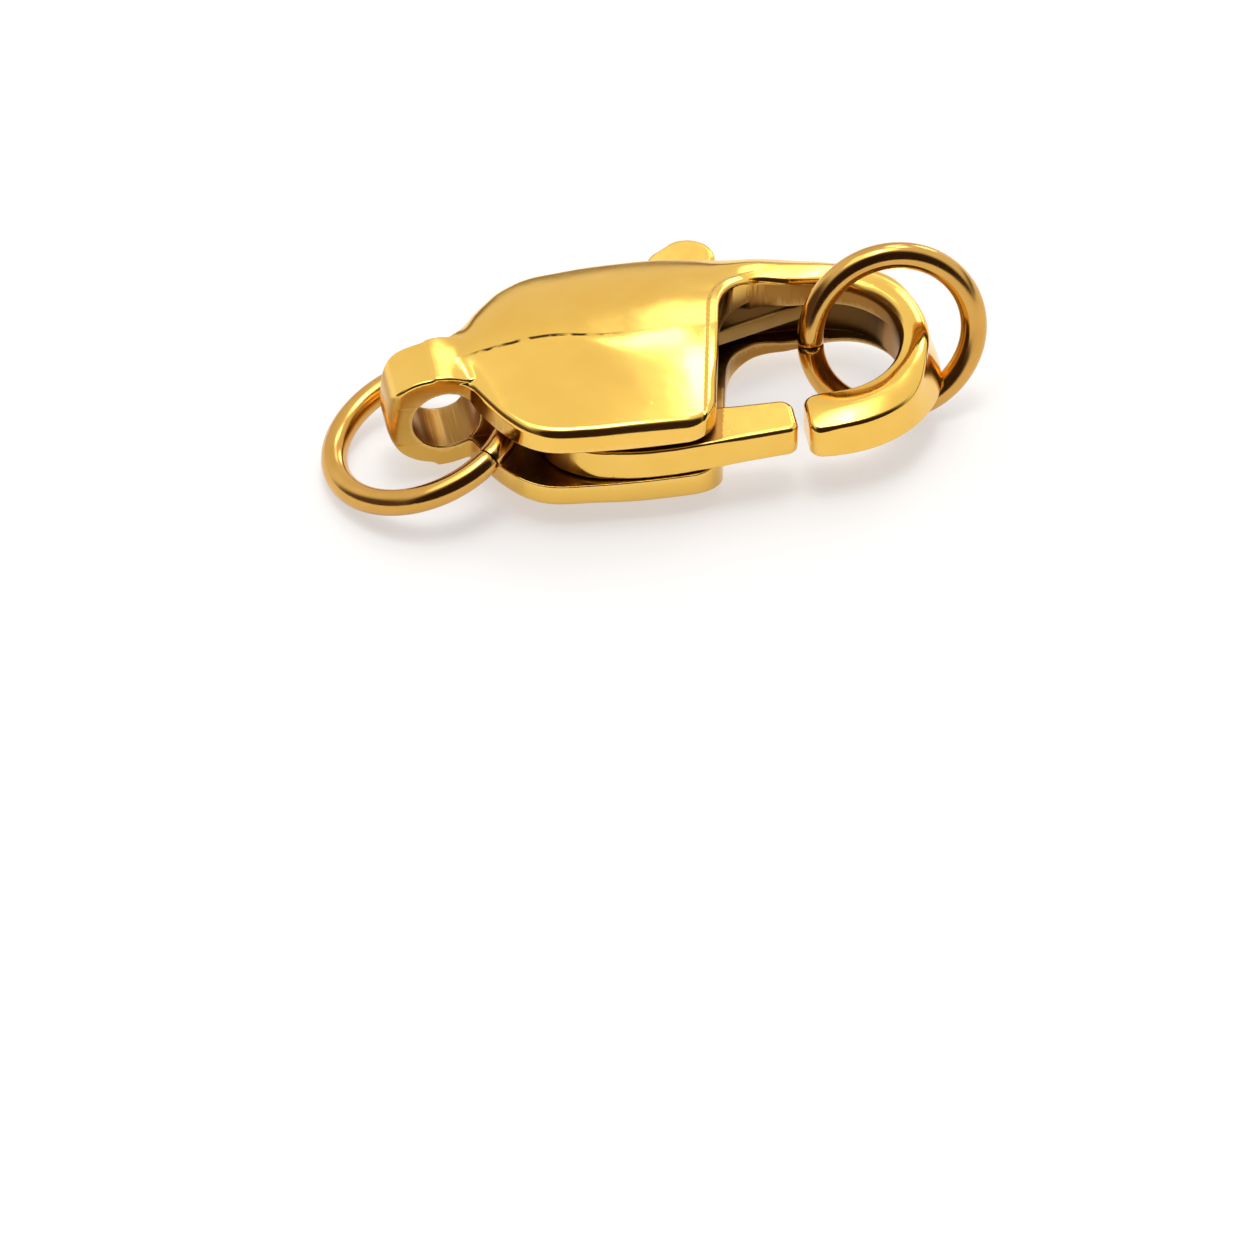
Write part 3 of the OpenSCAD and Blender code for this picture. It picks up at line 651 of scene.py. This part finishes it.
def plated_metal(name, light, dark, painted_shade, gloss, grain=(1.0, 1.0, 1.0)):
    """Gold over steel, as (material, tree, shader, place, grain): cloudy tone, painted brown shade, pale
    rims.
    """
    material, tree, output = new_material(name)
    where = add_node(tree, "ShaderNodeTexCoord").outputs["Object"]
    cloud = add_node(tree, "ShaderNodeTexNoise",
                     {"Scale": 1 / (1.111 * MM), "Detail": 4.0, "Roughness": 0.55}, {"Vector": where})
    tint = add_node(tree, "ShaderNodeMix", {"data_type": "RGBA", "A": linear(dark), "B": linear(light)},
                    {"Factor": cloud.outputs["Fac"]})
    occlusion_shade, inner, deep, edge = (
        add_node(tree, "ShaderNodeAttribute", {"attribute_name": word}).outputs["Fac"]
        for word in ("occlusion_shade", "inner", "deep", "edge_paling"))
    # Painted shade: brown in hollows and on inward walls. The same mask also makes them duller.
    shade_mask = add_node(tree, "ShaderNodeMath", {"operation": "MAXIMUM"}, {0: occlusion_shade, 1: inner})
    shade_and_dullness = add_node(tree, "ShaderNodeMapRange", {"From Min": 0.05, "From Max": 0.9, "To Max": 0.88},
                    {"Value": shade_mask.outputs[0]})
    shaded = add_node(tree, "ShaderNodeMix", {"data_type": "RGBA", "B": linear(painted_shade)},
                       {"Factor": shade_and_dullness.outputs["Result"], "A": tint.outputs["Result"]})
    # Painted shade: dark brown deep in the slot and the groove.
    slot_shade = add_node(tree, "ShaderNodeMapRange", {"To Max": 0.75}, {"Value": deep})
    slot_shaded = add_node(tree, "ShaderNodeMix", {"data_type": "RGBA", "B": linear("#3E2A16")},
                        {"Factor": slot_shade.outputs["Result"], "A": shaded.outputs["Result"]})
    # Paler gold towards convex edges.
    paling = add_node(tree, "ShaderNodeMapRange", {"From Min": 0.35, "From Max": 1.0, "To Max": 0.4},
                   {"Value": edge})
    paled = add_node(tree, "ShaderNodeMix", {"data_type": "RGBA", "B": linear("#FBD890")},
                      {"Factor": paling.outputs["Result"], "A": slot_shaded.outputs["Result"]})
    smear = add_node(tree, "ShaderNodeTexNoise",
                     {"Scale": 1 / (2.381 * MM), "Detail": 5.0, "Distortion": 0.6}, {"Vector": where})
    polish = add_node(tree, "ShaderNodeMapRange",
                      {"From Min": 0.3, "From Max": 0.75, "To Min": gloss[0], "To Max": gloss[1]},
                      {"Value": smear.outputs["Fac"]})
    dull = add_node(tree, "ShaderNodeMath", {"operation": "MULTIPLY_ADD", 1: 0.22},
                    {0: shade_and_dullness.outputs["Result"], 2: polish.outputs["Result"]})
    wave = add_node(tree, "ShaderNodeTexNoise", {"Scale": 1 / (0.9091 * MM), "Detail": 2.0},
                    {"Vector": where})
    # The grain's lines are drawn coarser than the real ones, which would be too fine to show.
    stretch = add_node(tree, "ShaderNodeMapping", {"Scale": [1 / (size * MM) for size in grain]},
                       {"Vector": where})
    buff = add_node(tree, "ShaderNodeTexNoise", {"Scale": 1.0, "Detail": 2.0},
                    {"Vector": stretch.outputs["Vector"]})
    pits = add_node(tree, "ShaderNodeTexVoronoi", {"Scale": 1 / (0.3846 * MM)}, {"Vector": where})
    pit = add_node(tree, "ShaderNodeMapRange", {"From Min": 0.03, "From Max": 0.10},
                   {"Value": pits.outputs["Distance"]})
    normal = {}
    for strength, rise, height in ((0.35, 0.02, wave.outputs["Fac"]), (0.12, 0.002, buff.outputs["Fac"]),
                                   (0.25, 0.004, pit.outputs["Result"])):
        bump = add_node(tree, "ShaderNodeBump", {"Strength": strength, "Distance": rise * MM},
                        {"Height": height, **normal})
        normal = {"Normal": bump.outputs["Normal"]}
    metal = add_node(tree, "ShaderNodeBsdfPrincipled", {"Metallic": 1.0},
                     {"Base Color": paled.outputs["Result"], "Roughness": dull.outputs[0], **normal})
    tree.links.new(metal.outputs["BSDF"], output.inputs["Surface"])
    return material, tree, metal, where, buff


# Investment-cast steel, plated gold and buffed: a deep mirror with a slight wave and few pits,
# duller inside the slot, the bore and the throat, where no buffing wheel reaches, and browner there with
# painted shade.
plated_casting, tree, metal, where, _ = plated_metal(
    "buffed_gold_plated_casting", "#F8CD6A", "#EFBC52", "#966730", (0.08, 0.18),
    (0.3333, 0.03846, 0.03846))
# The mould's parting line was polished away on the crest except for a broken dark crease.
spot = add_node(tree, "ShaderNodeSeparateXYZ", links={"Vector": where})
wander = add_node(tree, "ShaderNodeTexNoise", {"Scale": 1 / (0.4167 * MM), "Detail": 3.0},
                  {"Vector": where})
crest = add_node(tree, "ShaderNodeAttribute", {"attribute_name": "from_crest"})
shifted = add_node(tree, "ShaderNodeMath", {"operation": "MULTIPLY_ADD", 1: 0.07 * MM},
                   {0: wander.outputs["Fac"], 2: crest.outputs["Fac"]})
offset = add_node(tree, "ShaderNodeMath", {"operation": "SUBTRACT", 1: 0.025 * MM},
                  {0: shifted.outputs[0]})
aside = add_node(tree, "ShaderNodeMath", {"operation": "ABSOLUTE"}, {0: offset.outputs[0]})
# Each part of the crease: what is measured, where it is nothing and where it is full.
CREASE = [(aside.outputs[0], 0.055 * MM, 0.024 * MM), (spot.outputs["X"], -2.6 * MM, -2.1 * MM),
          (spot.outputs["X"], 0.9 * MM, 0.0 * MM), (spot.outputs["Z"], 2.2 * MM, 2.4 * MM),
          (wander.outputs["Fac"], 0.36, 0.48)]
crease = None
for measure, nothing, full in CREASE:
    part = add_node(tree, "ShaderNodeMapRange", {"From Min": nothing, "From Max": full},
                    {"Value": measure}).outputs["Result"]
    crease = part if crease is None else add_node(
        tree, "ShaderNodeMath", {"operation": "MULTIPLY"}, {0: crease, 1: part}).outputs[0]
# Painted shade: the outer walls brown a little towards the side that lies down.
low = add_node(tree, "ShaderNodeMapRange", {"From Min": 1.0 * MM, "From Max": 0.4 * MM, "To Max": 0.26},
               {"Value": spot.outputs["Z"]})
past_eye = add_node(tree, "ShaderNodeMapRange", {"From Min": -2.6 * MM, "From Max": -1.8 * MM},
                    {"Value": spot.outputs["X"]})
low_shade = add_node(tree, "ShaderNodeMath", {"operation": "MULTIPLY"},
                 {0: low.outputs["Result"], 1: past_eye.outputs["Result"]})
low_shaded = add_node(tree, "ShaderNodeMix", {"data_type": "RGBA", "B": linear("#966730")},
                   {"Factor": low_shade.outputs[0], "A": metal.inputs["Base Color"].links[0].from_socket})
creased = add_node(tree, "ShaderNodeMix", {"data_type": "RGBA", "B": linear("#4A2E10")},
                   {"Factor": crease, "A": low_shaded.outputs["Result"]})
tree.links.new(creased.outputs["Result"], metal.inputs["Base Color"])
body.data.materials.clear()
body.data.materials.append(plated_casting)
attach(body, "housing")
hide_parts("body")

# Lever: one flat stamping of steel that turns on the pin, with the gate that closes the hook at
# one side, and at the other the thumb arm with its round tab. It is tumbled, then plated gold.

LEVER_LOW, LEVER_HIGH = 1.03, 1.75
HUB_R = 1.2
PIN_HOLE_R = 0.44
GATE_TIP = 4.07
GATE_Y = -2.4
GATE_WIDE = 0.98
GATE_FAR_R, GATE_NEAR_R = 0.3, 0.22
SWELL = 0.22
SWELL_FADE = 0.084
TAB_HALF = 0.57
TAB_OUT = 1.32
TAB_LONG = (HALF_WIDE + TAB_OUT - PIVOT[1] - TAB_HALF) / math.sin(STOP_LEAN)
HEEL_LONG = 5.0
HEEL_HALF = 0.5
HEEL_LEAN = STOP_LEAN + 0.048
HEEL_BLEND = 0.12
STAMPED_EDGE_R = 0.07
TIP_SOFTER = 0.05
# How far the web's corners lie from the pin, in hub radii: aside, along the arm, along the gate.
WEB_ASIDE, WEB_ARM, WEB_GATE = 0.95, 2, 1.84


def bar(x, y, lean, long, half):
    """A bar with round ends, seen from above, from the pivot outwards."""
    ahead = x * math.cos(lean) + y * math.sin(lean)
    aside = x * math.sin(lean) - y * math.cos(lean)
    return np.hypot(np.maximum(np.abs(ahead - long / 2) - long / 2, 0), aside) - half


def lever_form(x, y, z):
    """Hub, gate with its rounded tip, thumb arm with its round tab, and the web that joins them."""
    px, py = x - PIVOT[0], y - PIVOT[1]
    from_pin = np.hypot(px, py)
    swell = SWELL * ramp(-0.8, 1.0, x)
    hub = from_pin - HUB_R - swell * np.clip(-py / np.maximum(from_pin, 0.1), 0, 1) ** 2
    flush = np.minimum(swell, SWELL_FADE * (GATE_TIP - x))
    sides = np.maximum(GATE_Y - flush - y, y - GATE_Y - GATE_WIDE)
    corner = np.where(y > GATE_Y + GATE_WIDE / 2, GATE_FAR_R, GATE_NEAR_R)
    gate = both(np.maximum(x - GATE_TIP, -x), sides, corner)
    tab = either(bar(px, py, STOP_LEAN, TAB_LONG, TAB_HALF),
                 bar(px, py, HEEL_LEAN, HEEL_LONG, HEEL_HALF), HEEL_BLEND)
    arm_x, arm_y = math.cos(STOP_LEAN), math.sin(STOP_LEAN)
    corners = [(0.0, 0.0), (-WEB_ASIDE * HUB_R * arm_y, WEB_ASIDE * HUB_R * arm_x),
               (WEB_ARM * HUB_R * arm_x, WEB_ARM * HUB_R * arm_y),
               (WEB_GATE * HUB_R, GATE_Y - PIVOT[1] + GATE_WIDE / 2)]
    web = -np.inf
    for (ax, ay), (bx, by) in zip(corners, corners[1:] + corners[:1]):
        line = ((by - ay) * (px - ax) - (bx - ax) * (py - ay)) / math.hypot(bx - ax, by - ay)
        web = np.maximum(web, -line)
    plan = np.minimum(np.minimum(hub, gate), np.minimum(tab, web))
    plan = np.maximum(plan, PIN_HOLE_R - from_pin)
    flat = np.maximum(z - LEVER_HIGH, LEVER_LOW - z)
    return both(flat, plan, STAMPED_EDGE_R + TIP_SOFTER * ramp(2.2, 3.0, x))


LEVER_BOX = (-1.3, -2.75, 0.95), (4.2, 4.1, 1.83)
LEVER_TRIANGLES = 90000
lever = skin("lever_stamping", lever_form, *LEVER_BOX, PITCH, LEVER_TRIANGLES, shade_masks_of_casting)
# Stamped steel, tumbled and plated with the casting: fine grain across the sheet, softer edges.
plated_stamping = plated_metal("tumbled_gold_plated_stamping", "#F8CE6C", "#EDBB52", "#966730",
                               (0.10, 0.20), (0.03846, 0.3846, 0.03846))[0]
lever.data.materials.clear()
lever.data.materials.append(plated_stamping)
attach(lever, "lever")
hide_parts("lever")

# Jump rings: round steel wire, coiled, sawn through once and plated. One lies in the slot behind
# the eye and the other hangs on the crook. Both are loose and lie as they fell.


def shaping_tree(name, sizes):
    """A geometry tree with named sizes and a finish, as (tree, its inputs, socket identifiers)."""
    tree = bpy.data.node_groups.new(name, "GeometryNodeTree")
    face = tree.interface
    face.new_socket("Geometry", in_out="INPUT", socket_type="NodeSocketGeometry")
    kinds = [(word, "NodeSocketFloat") for word in sizes] + [("Finish", "NodeSocketMaterial")]
    sockets = {word: face.new_socket(word, in_out="INPUT", socket_type=kind).identifier
               for word, kind in kinds}
    face.new_socket("Geometry", in_out="OUTPUT", socket_type="NodeSocketGeometry")
    return tree, add_node(tree, "NodeGroupInput").outputs, sockets


def end_tree(tree, swept, finish):
    """Makes the swept mesh real, gives it its finish and hands it out of the tree."""
    real = add_node(tree, "GeometryNodeRealizeInstances", links={"Geometry": swept.outputs["Mesh"]})
    coated = add_node(tree, "GeometryNodeSetMaterial",
                      links={"Geometry": real.outputs["Geometry"], "Material": finish})
    add_node(tree, "NodeGroupOutput", links={"Geometry": coated.outputs["Geometry"]})


def swept_mesh(piece, tree, sockets, values):
    """Runs the tree on the piece with these values and keeps what it makes as the piece's mesh."""
    made = piece.modifiers.new("sweep", "NODES")
    made.node_group = tree
    for word, value in values.items():
        made[sockets[word]] = value
    done = bpy.data.meshes.new_from_object(piece.evaluated_get(bpy.context.evaluated_depsgraph_get()))
    piece.modifiers.clear()
    piece.data = done
    return done


RING_STEPS, WIRE_STEPS = 220, 40
BEVEL_SHARE = 0.006
ring_tree, given, ring_sockets = shaping_tree(
    "jump_ring", ("Ring radius", "Wire radius", "Cut angle", "End bevel"))
sweep = add_node(ring_tree, "ShaderNodeMath", {"operation": "SUBTRACT", 0: 2 * math.pi},
                 {1: given["Cut angle"]})
start = add_node(ring_tree, "ShaderNodeMath", {"operation": "MULTIPLY", 1: 0.5}, {0: given["Cut angle"]})
arc = add_node(ring_tree, "GeometryNodeCurveArc", {"Resolution": RING_STEPS},
               {"Radius": given["Ring radius"], "Start Angle": start.outputs[0],
                "Sweep Angle": sweep.outputs[0]})
# The sawn ends are bevelled a little, over a small share of the wire's length.
part_way = add_node(ring_tree, "GeometryNodeSplineParameter")
from_end = add_node(ring_tree, "ShaderNodeMath", {"operation": "PINGPONG", 1: 0.5},
                    {0: part_way.outputs["Factor"]})
bevel = add_node(ring_tree, "ShaderNodeMapRange",
                 {"From Max": BEVEL_SHARE, "To Max": 1.0, "interpolation_type": "SMOOTHERSTEP"},
                 {"Value": from_end.outputs[0], "To Min": given["End bevel"]})
shaped = add_node(ring_tree, "GeometryNodeSetCurveRadius",
                  links={"Curve": arc.outputs["Curve"], "Radius": bevel.outputs["Result"]})
marked = add_node(ring_tree, "GeometryNodeStoreNamedAttribute",
                  {"data_type": "FLOAT", "domain": "POINT", "Name": "along"},
                  {"Geometry": shaped.outputs["Curve"], "Value": part_way.outputs["Factor"]})
wire = add_node(ring_tree, "GeometryNodeCurvePrimitiveCircle", {"Resolution": WIRE_STEPS},
                {"Radius": given["Wire radius"]})
place = add_node(ring_tree, "GeometryNodeInputPosition")
outward = add_node(ring_tree, "ShaderNodeVectorMath", {"operation": "NORMALIZE"},
                   {0: place.outputs["Position"]})
section = add_node(ring_tree, "GeometryNodeStoreNamedAttribute",
                   {"data_type": "FLOAT_VECTOR", "domain": "POINT", "Name": "section"},
                   {"Geometry": wire.outputs["Curve"], "Value": outward.outputs["Vector"]})
tube = add_node(ring_tree, "GeometryNodeCurveToMesh", {"Fill Caps": True},
                {"Curve": marked.outputs["Geometry"], "Profile Curve": section.outputs["Geometry"],
                 "Scale": bevel.outputs["Result"]})
end_tree(ring_tree, tube, given["Finish"])

WIRE = 0.55
DIE_LINE = 0.03056
DIE_STREAKS = 30.0
# Drawn wire, plated: a little browner than the casting, with die lines that run along the wire.
# They are drawn coarser than the real ones and broken into streaks of about 0.4 mm.
drawn_wire, tree, _, _, lines = plated_metal(
    "drawn_gold_plated_wire", "#E4B461", "#C28D3D", "#704720", (0.10, 0.20))
section = add_node(tree, "ShaderNodeAttribute", {"attribute_name": "section"})
along_wire = add_node(tree, "ShaderNodeAttribute", {"attribute_name": "along"})
spread = add_node(tree, "ShaderNodeVectorMath", {"operation": "SCALE", "Scale": WIRE / 2 / DIE_LINE},
                  {0: section.outputs["Vector"]})
climb = add_node(tree, "ShaderNodeMath", {"operation": "MULTIPLY", 1: DIE_STREAKS},
                 {0: along_wire.outputs["Fac"]})
lengthwise = add_node(tree, "ShaderNodeCombineXYZ", links={"Z": climb.outputs[0]})
drawn = add_node(tree, "ShaderNodeVectorMath", {"operation": "ADD"},
                 {0: spread.outputs["Vector"], 1: lengthwise.outputs["Vector"]})
tree.links.new(drawn.outputs["Vector"], lines.inputs["Vector"])

SAW_CUT = 0.035
END_BEVEL = 0.96
RING_LIFT = 0.005


def jump_ring(name, node, outer, cut_at, place, lean):
    """One ring swept along its wire, leaning and lying in its place on the clasp."""
    base = bpy.data.objects.new(name, bpy.data.meshes.new(name))
    scene.collection.objects.link(base)
    radius = (outer - WIRE) / 2
    done = swept_mesh(base, ring_tree, ring_sockets, {
        "Ring radius": radius * MM, "Wire radius": WIRE / 2 * MM, "Cut angle": SAW_CUT / radius,
        "End bevel": END_BEVEL, "Finish": drawn_wire})
    spin = Matrix.Rotation(math.radians(cut_at), 4, "Z")
    about_x, about_y, about_z = (Matrix.Rotation(math.radians(turn), 4, axis)
                                 for turn, axis in zip(lean, "XYZ"))
    leaning = about_z @ about_y @ about_x
    done.transform(Matrix.Translation(Vector(place) * MM) @ leaning @ spin)
    for face in done.polygons:
        face.use_smooth = len(face.vertices) <= 4
    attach(base, "housing")
    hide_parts(node)


def leaning_height(outer, flat):
    """How high the middle of a ring is when it leans, where flat is 1 for one that lies flat."""
    return (outer - WIRE) / 2 * math.sqrt(1 - flat * flat) + WIRE / 2 + RING_LIFT


TAIL_D, TAIL_CUT = 4.44, -52
TAIL_RISE, TAIL_ROLL, TAIL_SHIFT = 19.9, -1.7, 0.33
TAIL_GAP = 0.02
rise_cos = math.cos(math.radians(TAIL_RISE))
tail_inside = TAIL_D / 2 - WIRE - TAIL_GAP
tail_x = SLOT_START - rise_cos * math.sqrt(tail_inside ** 2 - (STRAP_HALF + TAIL_SHIFT) ** 2)
tail_flat = rise_cos * math.cos(math.radians(TAIL_ROLL))
jump_ring("tail_jump_ring", "tail_ring", TAIL_D, TAIL_CUT,
          (tail_x, -TAIL_SHIFT, leaning_height(TAIL_D, tail_flat)), (TAIL_ROLL, -TAIL_RISE, 0))
HOOK_D, HOOK_CUT = 4.0, 180
HOOK_RING_LEAN, HOOK_RING_TURN = 73.4, 2
HOOK_RING_AT = (CROOK_X + 1.35, 0.05)
hook_flat = math.cos(math.radians(HOOK_RING_LEAN))
jump_ring("hook_jump_ring", "hook_ring", HOOK_D, HOOK_CUT,
          (*HOOK_RING_AT, leaning_height(HOOK_D, hook_flat)), (HOOK_RING_LEAN, 0, HOOK_RING_TURN))

# Return spring: a leaf of spring steel strip, bent once. Its fixed leg rests in the far arm's
# groove and its free leg bears on the gate's inner edge.

LEAF_THICK, LEAF_TALL, LEAF_EDGE_R = 0.12, 0.36, 0.02
LEAF_LONG = 2.75
LEAF_TURN, LEAF_FOLD = 17, 100
LEAF_RISE, LEAF_FALL = math.radians(LEAF_TURN), math.radians(LEAF_TURN - LEAF_FOLD)
LEAF_R = 0.22
LEAF_GAP = 0.04
LEAF_Z = (LEVER_LOW + LEVER_HIGH) / 2 + 0.07
LEG_STEPS, BEND_STEPS = 24, 14
leaf_tip = np.array([CROOK_X - 0.28, CROOK_IN + 0.16])
leaf_way = np.array([math.cos(LEAF_RISE), math.sin(LEAF_RISE)])
leaf_bend = leaf_tip - LEAF_LONG * leaf_way - LEAF_R * np.array([-leaf_way[1], leaf_way[0]])
free_way = np.array([math.cos(LEAF_FALL), math.sin(LEAF_FALL)])
free_long = (leaf_bend[1] - GATE_Y - GATE_WIDE - LEAF_GAP) / math.sin(math.radians(LEAF_FOLD))
path = [leaf_tip - LEAF_LONG * t * leaf_way for t in np.linspace(0, 0.98, LEG_STEPS)]
path += [leaf_bend + LEAF_R * np.array([math.cos(a), math.sin(a)])
         for a in np.linspace(LEAF_RISE + math.pi / 2, LEAF_FALL + 1.5 * math.pi, BEND_STEPS)]
path += [path[-1] + free_long * t * free_way for t in np.linspace(0.02, 1, LEG_STEPS)]

leaf_tree, given, leaf_sockets = shaping_tree("leaf_strip", ("Thickness", "Height", "Edge radius"))
line = add_node(leaf_tree, "GeometryNodeMeshToCurve", links={"Mesh": given["Geometry"]})
upright = add_node(leaf_tree, "GeometryNodeSetCurveNormal", {"mode": "Z_UP"},
                   {"Curve": line.outputs["Curve"]})
strip = add_node(leaf_tree, "GeometryNodeCurvePrimitiveQuadrilateral",
                 links={"Width": given["Thickness"], "Height": given["Height"]})
softened = add_node(leaf_tree, "GeometryNodeFilletCurve", {"mode": "POLY", "Count": 3},
                    {"Curve": strip.outputs["Curve"], "Radius": given["Edge radius"]})
leaf_sweep = add_node(leaf_tree, "GeometryNodeCurveToMesh", {"Fill Caps": True},
                      {"Curve": upright.outputs["Curve"], "Profile Curve": softened.outputs["Curve"]})
end_tree(leaf_tree, leaf_sweep, given["Finish"])

# Blued spring steel under a thin gold flash: satin brown, with rolling lines along the strip.
flashed_spring = plated_metal("gold_flashed_spring_strip", "#A5834A", "#86642F", "#5E4424", (0.28, 0.42),
                              (0.3333, 0.3333, 0.025))[0]
spring_path = bpy.data.meshes.new("return_leaf")
spring_path.from_pydata([(p[0] * MM, p[1] * MM, LEAF_Z * MM) for p in path],
                        [(i, i + 1) for i in range(len(path) - 1)], [])
spring = bpy.data.objects.new("return_leaf", spring_path)
scene.collection.objects.link(spring)
swept_mesh(spring, leaf_tree, leaf_sockets, {
    "Thickness": LEAF_THICK * MM, "Height": LEAF_TALL * MM, "Edge radius": LEAF_EDGE_R * MM,
    "Finish": flashed_spring})
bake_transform(spring)
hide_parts("return_spring")

# Pivot pin: turned steel rod, pressed through both plates, ground flush and plated over, so that
# only its middle shows, in the slot.

# Turned and plated: satin gold with fine rings round the rod.
turned_pin = plated_metal("turned_gold_plated_pin", "#E3B35A", "#C8953F", "#80562A", (0.18, 0.30),
                          (0.4, 0.4, 0.02381))[0]
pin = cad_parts["pivot_pin"]
pin.data.materials.clear()
pin.data.materials.append(turned_pin)
